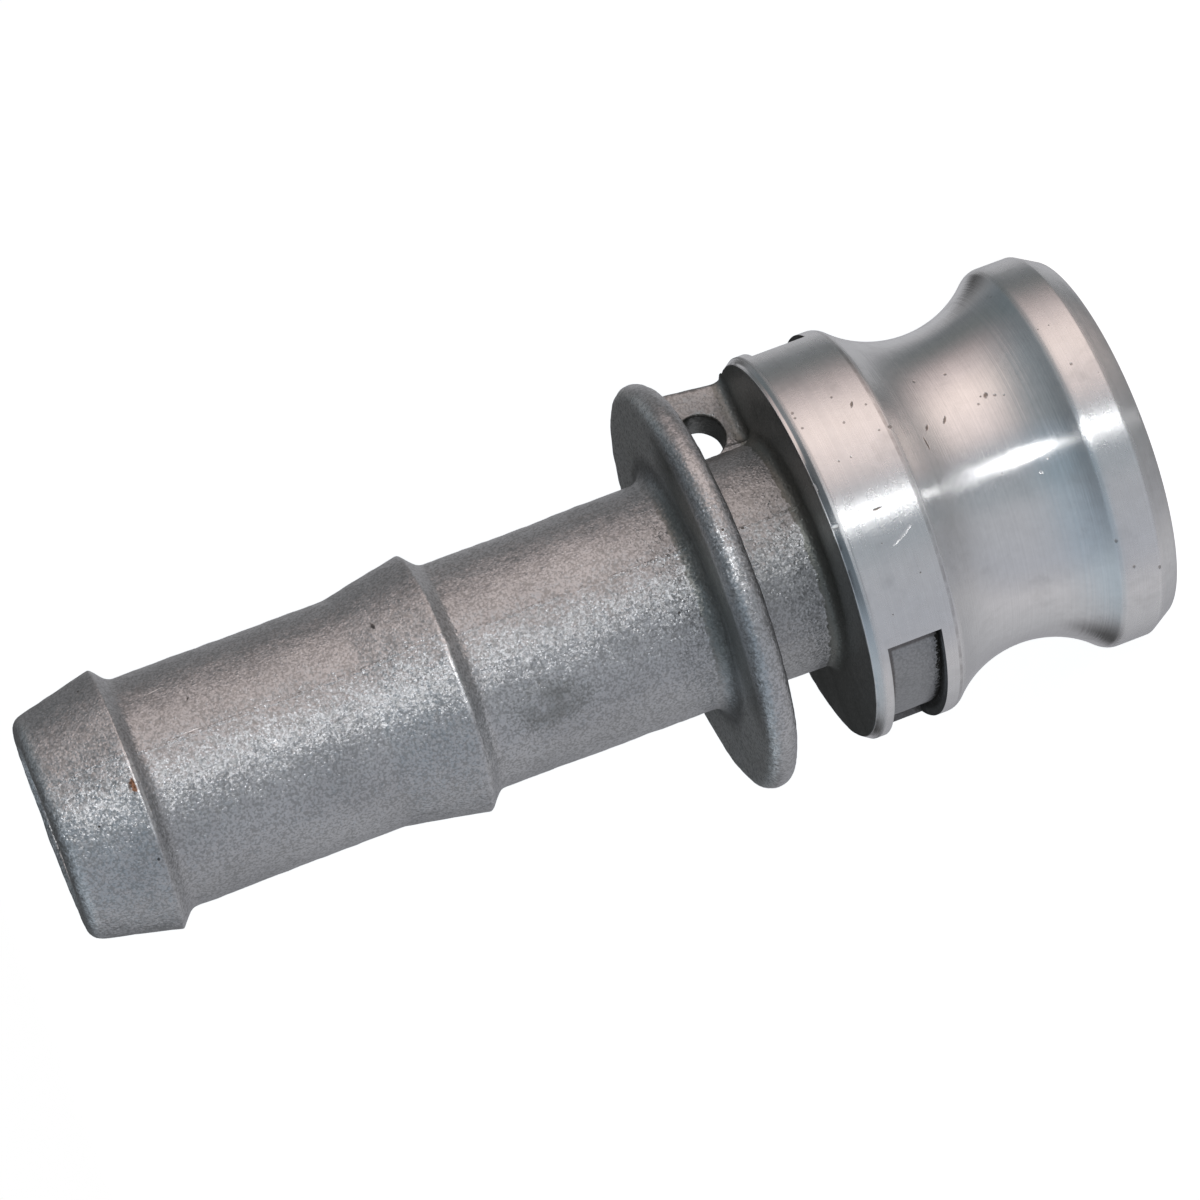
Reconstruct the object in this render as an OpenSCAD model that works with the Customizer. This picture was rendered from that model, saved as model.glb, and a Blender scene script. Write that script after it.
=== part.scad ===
// Hose-shank adapter of a cam and groove coupling, nominal 3/4 in (DN 20).
// One aluminium casting: a machined cam head, a neck with a drilled lanyard web,
// a round-rimmed collar and an as-cast hose shank with two barbs.
// It stands on its sealing face at Z = 0. +Z runs along the axis to the hose end,
// and the web stands out from the neck towards +X. All sizes are in millimetres.

/* [Cam head] */
// Diameter of the two lands that the coupler's body closes over
head_d = 32.1; // [30:0.05:36]
// Distance from the sealing face to the back face of the head
head_len = 26; // [25:0.1:32]
// Length of the lead-in cone along the axis
lead_in_len = 1.8; // [0.5:0.1:2.6]
// Angle of the lead-in cone from the axis
lead_in_angle = 30; // [15:1:45]
// Distance from the sealing face to the middle of the cam groove
groove_mid = 11.8; // [11:0.1:12.3]
// Radius of the groove's round bottom, where the cams bite
groove_r = 9.6; // [7:0.1:10.4]
// Diameter at the bottom of the groove
groove_d = 26.2; // [25.6:0.1:28]
// Radius of the round shoulders from the groove to the lands
shoulder_r = 1.25; // [0.5:0.05:1.6]
// Length of the chamfer along the back rim
rim_chamfer_len = 0.65; // [0.2:0.05:0.9]
// Depth of the chamfer along the back rim
rim_chamfer_depth = 0.45; // [0.2:0.05:0.8]

/* [Rim notches] */
// Length of the two cast notches along the axis
notch_len = 4.5; // [3:0.1:4.9]
// Width of the rim that is left behind the notches
notch_rim = 1.4; // [1:0.1:2]
// Diameter of the notch floor
notch_floor_d = 29.6; // [28.6:0.1:31]
// Angle that each notch takes round the head
notch_angle = 68.6; // [30:0.2:90]

/* [Neck and web] */
// Distance between the head's back face and the collar
neck_len = 6.7; // [6:0.1:9]
// Diameter of the neck
neck_d = 18.6; // [18:0.1:19.4]
// Thickness of the web between the head and the collar
web_t = 3.7; // [3:0.1:5]
// Reach of the web from the axis, where it meets the head
web_head_reach = 15.3; // [14.2:0.1:15.4]
// Reach of the web from the axis, where it meets the collar
web_collar_reach = 16.1; // [14.8:0.1:16.3]
// Fillet between the web's sides and the neck
web_fillet_r = 0.6; // [0.3:0.1:1]
// Diameter of the lanyard hole
lanyard_d = 3.9; // [2.5:0.1:4.2]
// Distance of the lanyard hole from the axis
lanyard_reach = 11.1; // [11:0.05:12]
// Shift of the lanyard hole from the middle of the neck towards the collar
lanyard_shift = 0.2; // [-0.4:0.05:0.4]

/* [Collar] */
// Diameter of the collar over its round rim
collar_d = 33.8; // [33:0.1:38]
// Thickness of the collar
collar_t = 2.6; // [2:0.1:3.4]
// Fillet between the head's back face and the neck
head_fillet_r = 1.1; // [0.4:0.1:1.4]
// Fillet between the neck and the collar
collar_fillet_r = 0.7; // [0.4:0.1:1.2]
// Fillet between the collar and the hose shank
shank_fillet_r = 1.5; // [0.6:0.1:2.4]

/* [Hose shank] */
// Length of the hose shank, from the collar to the hose end
shank_len = 53.2; // [48:0.1:70]
// Diameter of the shank at the collar
shank_root_d = 18.75; // [18.2:0.05:19.2]
// Diameter of the shank's waist, just behind the inner barb
shank_waist_d = 18.5; // [18:0.05:19.2]
// Diameter of the shank between the barbs
shank_d = 18.7; // [18.2:0.05:19.4]
// Diameter over the barbs' crests
crest_d = 21.25; // [20.4:0.05:22.6]
// Diameter at the hose end, before its edge is rounded
nose_d = 17.9; // [17.2:0.1:18.4]
// Length of the end barb's cone, from the hose end to its crest
end_barb_len = 7; // [5:0.1:10]
// Length of the inner barb's cone
inner_barb_len = 6.7; // [4:0.1:10]
// Distance from crest to crest
barb_pitch = 25.6; // [18:0.1:28]
// Angle of the barbs' back slopes from the axis
barb_back_angle = 49; // [35:1:70]
// Fillet at the foot of the back slopes
barb_fillet_r = 1.1; // [0.3:0.1:2]
// Radius of the rounded edge at the hose end
nose_r = 1.3; // [0.3:0.1:1.5]

/* [Water way] */
// Diameter of the bore through the shank and the neck
bore_d = 13.5; // [11:0.1:14]
// Chamfer of the bore at the hose end
bore_chamfer = 0.3; // [0.1:0.05:0.4]
// Diameter of the mouth inside the sealing face
mouth_d = 22; // [19:0.1:22.6]
// Depth of the straight part of the mouth
mouth_len = 20; // [17:0.1:21]
// Length of the cone from the mouth down to the bore
throat_len = 6.5; // [4:0.1:8]
// Chamfer round the mouth at the sealing face
mouth_chamfer = 0.5; // [0.2:0.1:0.8]

/* [Hidden] */
$fn = 128;
// What a cut runs past the surface that it opens
over = 0.2;
// Places along the axis
collar_z = head_len + neck_len;
shank_z = collar_z + collar_t;
overall_len = shank_z + shank_len;
end_crest_z = overall_len - end_barb_len;
inner_crest_z = end_crest_z - barb_pitch;
notch_z = head_len - notch_rim - notch_len;
lanyard_z = head_len + neck_len / 2 + lanyard_shift;
// Radii
head_r = head_d / 2;
face_r = head_r - lead_in_len * tan(lead_in_angle);
neck_r = neck_d / 2;
crest_r = crest_d / 2;
collar_rim_r = collar_t / 2;
// The groove's arc has its centre outside the head
groove_centre_r = groove_d / 2 + groove_r;
// How far along the axis each shoulder's centre lies from the middle of the groove
shoulder_off = sqrt(pow(groove_r + shoulder_r, 2) - pow(groove_centre_r - head_r + shoulder_r, 2));
// Slope of the end barb's cone from the axis
nose_angle = atan((crest_d - nose_d) / 2 / end_barb_len);

// A unit step in the direction of an angle
function step(a) = [cos(a), sin(a)];

// Length along the axis of a back slope that climbs from a radius to the crest
function back_run(from_r) = (crest_r - from_r) / tan(barb_back_angle);

// The piece between a corner and the circle that touches both its edges, which
// leave it at angles a1 and a2. It fills an inner corner and trims an outer one.
module corner_piece(p, a1, a2, r) {
    mid = (a1 + a2) / 2;
    half = abs(a2 - a1) / 2;
    c = p + r / sin(half) * step(mid);
    foot = r / tan(half);
    to_1 = (p + foot * step(a1) - c) / r;
    to_2 = (p + foot * step(a2) - c) / r;
    difference() {
        polygon([c, c + (r + over) * to_1, p - 2 * over * step(mid), c + (r + over) * to_2]);
        translate(c)
            circle(r);
    }
}

// Half section of the head before the groove is turned, radius along X
module head_blank() {
    polygon([
        [0, 0],
        [face_r, 0],
        [head_r, lead_in_len],
        [head_r, head_len - rim_chamfer_len],
        [head_r - rim_chamfer_depth, head_len],
        [0, head_len]
    ]);
}

// What rounds one shoulder of the groove. The shoulder's arc touches the land and
// the groove's arc, so both run into it with no edge. side is 1 or -1.
module shoulder_trim(side) {
    share = groove_r / (groove_r + shoulder_r);
    centre = [head_r - shoulder_r, groove_mid + side * shoulder_off];
    groove_centre = [groove_centre_r, groove_mid];
    on_groove = groove_centre + share * (centre - groove_centre);
    edge_off = sqrt(pow(groove_r, 2) - pow(groove_centre_r - head_r, 2));
    difference() {
        polygon([
            centre,
            [head_r + over, centre[1]],
            [head_r + over, groove_mid + side * edge_off],
            on_groove
        ]);
        translate(centre)
            circle(shoulder_r);
    }
}

// Half section of the cam head
module head_section() {
    difference() {
        head_blank();
        translate([groove_centre_r, groove_mid])
            circle(groove_r);
        shoulder_trim(1);
        shoulder_trim(-1);
    }
}

// Half section of the neck, from inside the head to inside the collar
module neck_section() {
    translate([0, head_len - over])
        square([neck_r, neck_len + 2 * over]);
    corner_piece([neck_r, head_len], 0, 90, head_fillet_r);
    corner_piece([neck_r, collar_z], 0, -90, collar_fillet_r);
}

// Half section of the collar, a disc with a full round rim
module collar_section() {
    translate([0, collar_z])
        square([collar_d / 2 - collar_rim_r, collar_t]);
    translate([collar_d / 2 - collar_rim_r, collar_z + collar_rim_r])
        circle(collar_rim_r);
}

// Half section of the hose shank. Its barbs lean away from the hose end, so that
// the hose slides on over the cones and is held by the back slopes.
module shank_section() {
    waist_r = shank_waist_d / 2;
    shank_r = shank_d / 2;
    inner_foot_z = inner_crest_z - back_run(waist_r);
    end_foot_z = end_crest_z - back_run(shank_r);
    difference() {
        polygon([
            [0, shank_z - over],
            [shank_root_d / 2, shank_z - over],
            [waist_r, inner_foot_z],
            [crest_r, inner_crest_z],
            [shank_r, inner_crest_z + inner_barb_len],
            [shank_r, end_foot_z],
            [crest_r, end_crest_z],
            [nose_d / 2, overall_len],
            [0, overall_len]
        ]);
        corner_piece([nose_d / 2, overall_len], -180, nose_angle - 90, nose_r);
    }
    corner_piece([shank_root_d / 2, shank_z], 0, 90, shank_fillet_r);
    corner_piece([waist_r, inner_foot_z], 90 - barb_back_angle, -90, barb_fillet_r);
    corner_piece([shank_r, end_foot_z], 90 - barb_back_angle, -90, barb_fillet_r);
}

// The turned outside of the casting
module body() {
    rotate_extrude()
        union() {
            head_section();
            neck_section();
            collar_section();
            shank_section();
        }
}

// One fillet between the web and the neck, seen along the axis
module web_fillet() {
    off = web_t / 2 + web_fillet_r;
    centre = [sqrt(pow(neck_r + web_fillet_r, 2) - pow(off, 2)), off];
    on_neck = centre * (neck_r - over) / (neck_r + web_fillet_r);
    difference() {
        polygon([centre, [centre[0], web_t / 2 - over], [on_neck[0], web_t / 2 - over], on_neck]);
        translate(centre)
            circle(web_fillet_r);
    }
}

// The web that ties the collar to the head and carries the lanyard hole
module web() {
    slope = (web_collar_reach - web_head_reach) / neck_len;
    root_r = neck_r - web_t / 2;
    rotate([90, 0, 0])
        linear_extrude(web_t, center = true)
            polygon([
                [root_r, head_len - over],
                [web_head_reach - slope * over, head_len - over],
                [web_collar_reach + slope * collar_rim_r, collar_z + collar_rim_r],
                [root_r, collar_z + collar_rim_r]
            ]);
    translate([0, 0, head_len - over])
        linear_extrude(neck_len + 2 * over) {
            web_fillet();
            mirror([0, 1])
                web_fillet();
        }
}

// The lanyard hole, along Y through the web
module lanyard_hole() {
    translate([lanyard_reach, 0, lanyard_z])
        rotate([90, 0, 0])
            cylinder(h = neck_d, d = lanyard_d, center = true);
}

// What the casting leaves out of the rear land: one notch over the web, one opposite
module rim_notches() {
    for (turn = [0, 180])
        rotate([0, 0, turn - notch_angle / 2])
            rotate_extrude(angle = notch_angle)
                translate([notch_floor_d / 2, notch_z])
                    square([head_d / 2, notch_len]);
}

// The water way: mouth, throat and bore
module water_way() {
    bore_r = bore_d / 2;
    mouth_r = mouth_d / 2;
    rotate_extrude()
        polygon([
            [0, -over],
            [mouth_r + mouth_chamfer + over, -over],
            [mouth_r, mouth_chamfer],
            [mouth_r, mouth_len],
            [bore_r, mouth_len + throat_len],
            [bore_r, overall_len - bore_chamfer],
            [bore_r + bore_chamfer + over, overall_len + over],
            [0, overall_len + over]
        ]);
}

module hose_shank_adapter() {
    color([0.66, 0.66, 0.65])
        difference() {
            union() {
                body();
                web();
            }
            rim_notches();
            lanyard_hole();
            water_way();
        }
}

hose_shank_adapter();
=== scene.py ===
# %% [markdown]
# # A hose shank adapter in cast aluminium
# The adapter is the male half of a cam and groove coupling. It is one casting: a head
# with a groove for the coupler's cams, a neck with a drilled web, a collar, and a shank
# with two barbs for a 19 mm hose. Only the head is turned bright on a lathe. The rest
# keeps the dull, sandy skin that the mould gave it.
#
# The imported CAD model is loaded first, as a fixed frame.

# %% Load the frame
import math

import bpy
from mathutils import Matrix, Vector


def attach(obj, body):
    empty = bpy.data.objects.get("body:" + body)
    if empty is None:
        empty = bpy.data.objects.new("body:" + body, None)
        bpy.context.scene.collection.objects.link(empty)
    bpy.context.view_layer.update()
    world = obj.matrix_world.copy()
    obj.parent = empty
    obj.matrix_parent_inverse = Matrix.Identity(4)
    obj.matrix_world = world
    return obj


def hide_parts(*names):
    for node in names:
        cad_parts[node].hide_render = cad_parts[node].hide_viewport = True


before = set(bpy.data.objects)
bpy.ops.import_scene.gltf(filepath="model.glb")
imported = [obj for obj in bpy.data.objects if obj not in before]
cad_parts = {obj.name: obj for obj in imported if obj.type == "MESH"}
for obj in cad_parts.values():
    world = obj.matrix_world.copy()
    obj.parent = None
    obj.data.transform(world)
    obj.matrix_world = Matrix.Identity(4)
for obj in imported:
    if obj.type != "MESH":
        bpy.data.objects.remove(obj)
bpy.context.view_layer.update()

# %% [markdown]
# ## The camera
# The photograph was taken from close by, with the adapter lying across the picture. In
# the frame it stands on its sealing face, so the camera is rolled instead of the part.
# Its place is given by its angles and by where the sealing face lies from it.

# %% Where the camera stands
VIEW_AZIMUTH = -109.9
VIEW_ELEVATION = 9.02
VIEW_SWING = -0.072
VIEW_ROLL = 20.46
FACE_FROM_CAMERA = Vector((0.04151, 0.00178, 0.3732))
PICTURE_SIZE = 1200
FOCAL_PIXELS = 4669
SENSOR_WIDTH = 36
CLIP_START = 0.01
CLIP_END = 20

view_angles = (VIEW_AZIMUTH, VIEW_ELEVATION, VIEW_SWING, VIEW_ROLL)
azimuth, elevation, swing, roll = map(math.radians, view_angles)
towards_camera = Vector((math.cos(azimuth), math.sin(azimuth), 0))
towards_head = Vector((0, 0, -1))
across = towards_head.cross(towards_camera)
along_axis = towards_head * math.cos(elevation) + towards_camera * math.sin(elevation)
view_right = along_axis * math.cos(swing) - across * math.sin(swing)
view_down = along_axis * math.sin(swing) + across * math.cos(swing)
view_away = view_right.cross(view_down)
picture_right = view_right * math.cos(roll) + view_down * math.sin(roll)
picture_down = view_down * math.cos(roll) - view_right * math.sin(roll)

# %% Make the camera
camera_data = bpy.data.cameras.new("photo_camera")
camera_data.sensor_width = SENSOR_WIDTH
camera_data.lens = SENSOR_WIDTH * FOCAL_PIXELS / PICTURE_SIZE
camera_data.clip_start = CLIP_START
camera_data.clip_end = CLIP_END
camera = bpy.data.objects.new("photo_camera", camera_data)
bpy.context.scene.collection.objects.link(camera)
right, down, away = FACE_FROM_CAMERA
camera_place = -(view_right * right + view_down * down + view_away * away)
turn = Matrix((picture_right, -picture_down, -view_away)).transposed().to_4x4()
camera.matrix_world = Matrix.Translation(camera_place) @ turn
bpy.context.scene.camera = camera
print("Camera at", [round(1000 * x, 1) for x in camera_place], "mm")

# %% [markdown]
# ## The half section
# Everything round on the adapter is one turned form, so it starts as a half section: a
# line in the XZ plane that runs up the outside and back down through the water way.
# Such a line could be drawn as a curve and screwed round the axis. Here it is a chain of
# points with small arcs, because then each edge keeps its own radius: sharp where the
# lathe cut, soft where the mould was filled.
#
# All sizes are in millimetres, and are scaled to metres when the line is drawn.

# %% Sizes of the turned head
MM = 0.001
HEAD_R = 16.05
HEAD_LEN = 26.0
FACE_R = 15.01
LEAD_IN_LEN = 1.8
GROOVE_MID = 11.8
GROOVE_R = 9.6
GROOVE_BOTTOM_R = 13.1
SHOULDER_R = 1.25
RIM_CHAMFER_LEN = 0.65
RIM_CHAMFER_DEPTH = 0.45
NOTCH_LOW = 20.1
NOTCH_HIGH = 24.6
NOTCH_FLOOR_R = 14.8
NOTCH_HALF_ANGLE = 34.3

# %% Sizes of the cast parts
NECK_R = 9.3
COLLAR_LOW = 32.7
COLLAR_HIGH = 35.3
COLLAR_R = 16.9
SHANK_ROOT_R = 9.375
SHANK_WAIST_R = 9.25
SHANK_R = 9.35
CREST_R = 10.625
INNER_CREST = 55.9
END_CREST = 81.5
INNER_BARB_LEN = 6.7
BACK_ANGLE = 49
NOSE_R = 8.95
TOTAL_LEN = 88.5
BORE_R = 6.75
MOUTH_R = 11.0
MOUTH_LEN = 20.0
THROAT_END = 26.5

# %% Arcs, rounded corners and even steps
def arc(centre_r, centre_z, radius, start, end, steps):
    """Points of an arc in the half section, with its angles measured from the X axis."""
    angles = [math.radians(start + (end - start) * i / steps) for i in range(steps + 1)]
    return [(centre_r + radius * math.cos(a), centre_z + radius * math.sin(a)) for a in angles]


def rounded(before, corner, after, radius, steps):
    """The arc that takes the place of a corner."""
    to_before = (Vector(before) - Vector(corner)).normalized()
    to_after = (Vector(after) - Vector(corner)).normalized()
    half = to_before.angle(to_after) / 2
    centre = Vector(corner) + (to_before + to_after).normalized() * radius / math.sin(half)
    first = Vector(corner) + to_before * radius / math.tan(half) - centre
    last = Vector(corner) + to_after * radius / math.tan(half) - centre
    arms = [first.slerp(last, i / steps).normalized() for i in range(steps + 1)]
    return [tuple(centre + arm * radius) for arm in arms]


def stepped(points, longest):
    """Adds points to straight runs that are longer than a step should be."""
    slack = 0.001
    made = [points[0]]
    for here in points[1:]:
        start = Vector(made[-1])
        run = Vector(here) - start
        count = max(1, math.ceil(run.length / longest(here) - slack))
        made += [tuple(start + run * i / count) for i in range(1, count + 1)]
    return made


# %% [markdown]
# The cam groove is one large arc between two small ones, the shoulders. They meet in
# tangents, so the place of the shoulders follows from the three radii.

# %% The groove and the collar's rim
GROOVE_STEPS = 34
SHOULDER_STEPS = 6
COLLAR_STEPS = 16

groove_centre_r = GROOVE_BOTTOM_R + GROOVE_R
shoulder_centre_r = HEAD_R - SHOULDER_R
centres_apart = groove_centre_r - shoulder_centre_r
shoulder_off = math.sqrt((GROOVE_R + SHOULDER_R) ** 2 - centres_apart**2)
turn_in = math.degrees(math.atan2(shoulder_off, centres_apart))
low_z = GROOVE_MID - shoulder_off
high_z = GROOVE_MID + shoulder_off
groove = arc(shoulder_centre_r, low_z, SHOULDER_R, 0, turn_in, SHOULDER_STEPS)
groove += arc(groove_centre_r, GROOVE_MID, GROOVE_R, 180 + turn_in, 180 - turn_in, GROOVE_STEPS)[1:]
groove += arc(shoulder_centre_r, high_z, SHOULDER_R, -turn_in, 0, SHOULDER_STEPS)[1:]

rim_r = (COLLAR_HIGH - COLLAR_LOW) / 2
collar_rim = arc(COLLAR_R - rim_r, COLLAR_LOW + rim_r, rim_r, -90, 90, COLLAR_STEPS)
print("Shoulders:", round(shoulder_off, 2), "mm from the middle of the groove")

# %% [markdown]
# The other corners are listed from the sealing face to the hose end and back inside. A
# barb has a long front, so that the hose slides on, and a steep back that holds it.

# %% The line of the half section
back_run_per_r = 1 / math.tan(math.radians(BACK_ANGLE))
inner_foot = INNER_CREST - (CREST_R - SHANK_WAIST_R) * back_run_per_r
end_foot = END_CREST - (CREST_R - SHANK_R) * back_run_per_r

# Each corner has its radius and height, then the radius of its rounding and its steps.
CORNERS_BELOW_GROOVE = [
    (MOUTH_R + 0.5, 0, 0, 0),
    (FACE_R, 0, 0.13, 3),
    (HEAD_R, LEAD_IN_LEN, 0.25, 3),
]
CORNERS_ABOVE_GROOVE = [
    (HEAD_R, NOTCH_LOW, 0, 0),
    (HEAD_R, NOTCH_HIGH, 0, 0),
    (HEAD_R, HEAD_LEN - RIM_CHAMFER_LEN, 0.12, 2),
    (HEAD_R - RIM_CHAMFER_DEPTH, HEAD_LEN, 0.1, 2),
    (NECK_R, HEAD_LEN, 1.1, 6),
    (NECK_R, COLLAR_LOW, 0.7, 5),
]
CORNERS_OF_SHANK = [
    (SHANK_ROOT_R, COLLAR_HIGH, 1.5, 7),
    (SHANK_WAIST_R, inner_foot, 1.1, 4),
    (CREST_R, INNER_CREST, 0.3, 4),
    (SHANK_R, INNER_CREST + INNER_BARB_LEN, 4, 3),
    (SHANK_R, end_foot, 1.1, 4),
    (CREST_R, END_CREST, 0.16, 3),
    (NOSE_R, TOTAL_LEN, 1.3, 6),
    (BORE_R + 0.3, TOTAL_LEN, 0, 0),
    (BORE_R, TOTAL_LEN - 0.3, 0, 0),
    (BORE_R, THROAT_END, 3, 4),
    (MOUTH_R, MOUTH_LEN, 2, 4),
    (MOUTH_R, 0.5, 0, 0),
]


def run_of_corners(corners, before, after):
    """Points of a run of corners, rounded where they ask for it."""
    places = [before] + [(r, z) for r, z, _, _ in corners] + [after]
    made = []
    for i, (r, z, radius, steps) in enumerate(corners):
        if radius:
            made += rounded(places[i], (r, z), places[i + 2], radius, steps)
        else:
            made.append((r, z))
    return made


section = run_of_corners(CORNERS_BELOW_GROOVE, None, groove[0])
section += groove
section += run_of_corners(CORNERS_ABOVE_GROOVE, groove[-1], collar_rim[0])
section += collar_rim
section += run_of_corners(CORNERS_OF_SHANK, collar_rim[-1], None)
section.append(section[0])

# %% Even steps along the line
INNER_STEP = 3.0
SHANK_STEP = 0.42
HEAD_STEP = 0.5


def longest_step(place):
    """Steps are short where the skin shows, and long in the water way."""
    r, z = place
    if r < BORE_R + 0.7 or (r <= MOUTH_R and z < THROAT_END):
        return INNER_STEP
    return SHANK_STEP if z > COLLAR_HIGH else HEAD_STEP


section = stepped(section, longest_step)
print("Half section:", len(section), "points")

# %% [markdown]
# ## Spinning the section
# A vertex is extruded from point to point, and the line is spun round the axis, as a
# lathe would. Five goes let a column of faces start exactly where each notch does.

# %% Helpers for editing
def deselect_everything():
    bpy.ops.object.select_all(action="DESELECT")


def select_only(piece):
    deselect_everything()
    piece.select_set(True)
    bpy.context.view_layer.objects.active = piece


def select_all():
    bpy.ops.mesh.select_all(action="SELECT")


def mode(name):
    bpy.ops.object.mode_set(mode=name)


def widen(along_x, along_y, level=0):
    """Scales the selection away from the axis, at a level in mm."""
    bpy.ops.transform.resize(value=(along_x, along_y, 1), center_override=(0, 0, level * MM))


def extrude_up(rise):
    """Extrudes the selected faces and lifts them by a rise in mm."""
    bpy.ops.mesh.extrude_region_move(TRANSFORM_OT_translate={"value": (0, 0, rise * MM)})


# %% Draw a line
def draw_line(name, points):
    """A new mesh with one chain of vertices in the XZ plane, open for editing."""
    deselect_everything()
    bpy.ops.mesh.primitive_plane_add(size=MM, location=(0, 0, 0))
    piece = bpy.context.object
    piece.name = name
    piece.data.name = name
    mode("EDIT")
    bpy.ops.mesh.select_mode(type="VERT")
    bpy.ops.mesh.merge(type="CENTER")
    r, z = points[0]
    bpy.ops.transform.translate(value=(r * MM, 0, z * MM))
    for here, there in zip(points, points[1:]):
        step = ((there[0] - here[0]) * MM, 0, (there[1] - here[1]) * MM)
        bpy.ops.mesh.extrude_vertices_move(TRANSFORM_OT_translate={"value": step})
    select_all()
    return piece


# %% Spin it
MERGE_DISTANCE = 0.002 * MM
SPINS = [
    (NOTCH_HALF_ANGLE, 26),
    (180 - 2 * NOTCH_HALF_ANGLE, 76),
    (2 * NOTCH_HALF_ANGLE, 52),
    (180 - 2 * NOTCH_HALF_ANGLE, 76),
    (NOTCH_HALF_ANGLE, 26),
]
casting = draw_line("hose_shank_casting", section)
for angle, steps in SPINS:
    bpy.ops.mesh.spin(steps=steps, angle=math.radians(angle), center=(0, 0, 0), axis=(0, 0, 1))
select_all()
bpy.ops.mesh.remove_doubles(threshold=MERGE_DISTANCE)
bpy.ops.mesh.normals_make_consistent(inside=False)
mode("OBJECT")
print("Spun casting:", len(casting.data.polygons), "faces")

# %% [markdown]
# ## The two notches
# The mould leaves two long notches in the rear land, one over the web and one opposite.
# Their floor is part of a cylinder and their ends are square. The faces of the land are
# selected by their place, extruded, and drawn in towards the axis.

# %% Select faces by place
CLOSE = 0.03


def select_faces(piece, wanted):
    """Selects the faces whose centre and normal pass a test, and returns their number."""
    bpy.context.view_layer.objects.active = piece
    mode("EDIT")
    bpy.ops.mesh.select_mode(type="FACE")
    bpy.ops.mesh.select_all(action="DESELECT")
    mode("OBJECT")
    chosen = [bool(wanted(face.center / MM, face.normal)) for face in piece.data.polygons]
    piece.data.polygons.foreach_set("select", chosen)
    mode("EDIT")
    return sum(chosen)


def radius_of(point):
    return math.hypot(point.x, point.y)


def angle_off_web(point):
    """Angle from the web or from its opposite side, whichever is nearer."""
    return math.degrees(math.atan2(abs(point.y), abs(point.x)))


# %% Notches
def in_notch(centre, normal):
    on_land = radius_of(centre) > HEAD_R - CLOSE and NOTCH_LOW < centre.z < NOTCH_HIGH
    return on_land and angle_off_web(centre) < NOTCH_HALF_ANGLE


count = select_faces(casting, in_notch)
depth_share = NOTCH_FLOOR_R / HEAD_R
extrude_up(0)
widen(depth_share, depth_share)
mode("OBJECT")
print("Notch floors:", count, "faces")

# %% [markdown]
# ## The web and its hole
# A web ties the collar to the head, and a hole through it takes a lanyard. A casting has
# no sharp roots, so it widens towards the neck, the head and the collar. It starts as a
# flat grid and is extruded level by level, each scaled to its own width and reach.

# %% Sizes of the web
WEB_HALF = 1.85
WEB_INNER = 8.3
WEB_HEAD_REACH = 15.3
WEB_COLLAR_REACH = 16.1
WEB_BOTTOM = HEAD_LEN - 0.5
WEB_TOP = 34.0
WEB_ROWS = 34
WEB_COLUMNS = 6
WEB_FILLET_R = 0.8
WEB_COLLAR_FILLET_R = 0.7
WEB_EDGE_R = 0.75
WEB_ROOT_SINK = 0.12
REACH_PER_FILLET = 0.6


def fillet_growth(distance, radius):
    """How much wider a wall is at a distance from its root."""
    if distance >= radius:
        return 0.0
    return radius - math.sqrt(radius**2 - (radius - max(distance, 0)) ** 2)


def web_half_width(x):
    """Half thickness of the web across the neck, with its root and its rounded edge."""
    root = fillet_growth(x - NECK_R + WEB_ROOT_SINK, WEB_FILLET_R)
    edge = fillet_growth(WEB_HEAD_REACH - x, WEB_EDGE_R)
    return WEB_HALF + root - edge


# %% The web's foot
deselect_everything()
bpy.ops.mesh.primitive_grid_add(
    x_subdivisions=WEB_ROWS, y_subdivisions=WEB_COLUMNS, size=1, location=(0, 0, 0)
)
web = bpy.context.object
web.name = "web"
mode("EDIT")
web_length = WEB_HEAD_REACH - WEB_INNER
web_middle = (WEB_HEAD_REACH + WEB_INNER) / 2
widen(web_length * MM, 2 * WEB_HALF * MM)
bpy.ops.transform.translate(value=(web_middle * MM, 0, WEB_BOTTOM * MM))
mode("OBJECT")
for vertex in web.data.vertices:
    vertex.co.y *= web_half_width(vertex.co.x / MM) / WEB_HALF
mode("EDIT")
bpy.ops.mesh.select_mode(type="FACE")
select_all()

# %% The web's levels
FILLET_LEVELS = (0, 0.06, 0.15, 0.28, 0.45, 0.7, 1.0)
COLLAR_FILLET_LEVELS = (0.6, 0.4, 0.25, 0.14, 0.06, 0)
PLAIN_STEP = 0.4
PLAIN_LEVELS = 12

web_levels = [HEAD_LEN + rise for rise in FILLET_LEVELS]
web_levels += [HEAD_LEN + 1.0 + PLAIN_STEP * i for i in range(1, PLAIN_LEVELS + 1)]
web_levels += [COLLAR_LOW - drop for drop in COLLAR_FILLET_LEVELS]
web_levels.append(WEB_TOP)

slope = (WEB_COLLAR_REACH - WEB_HEAD_REACH) / (COLLAR_LOW - HEAD_LEN)
level = WEB_BOTTOM
width = WEB_HALF
reach = WEB_HEAD_REACH
for next_level in web_levels:
    grow = fillet_growth(next_level - HEAD_LEN, WEB_FILLET_R)
    if next_level <= COLLAR_LOW:
        grow += fillet_growth(COLLAR_LOW - next_level, WEB_COLLAR_FILLET_R)
    next_width = WEB_HALF + grow
    next_reach = WEB_HEAD_REACH + slope * min(next_level - HEAD_LEN, COLLAR_LOW - HEAD_LEN)
    next_reach += REACH_PER_FILLET * grow
    extrude_up(next_level - level)
    widen(next_reach / reach, next_width / width, next_level)
    level = next_level
    width = next_width
    reach = next_reach
select_all()
bpy.ops.mesh.normals_make_consistent(inside=False)
mode("OBJECT")
print("Web:", len(web.data.polygons), "faces")

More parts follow.
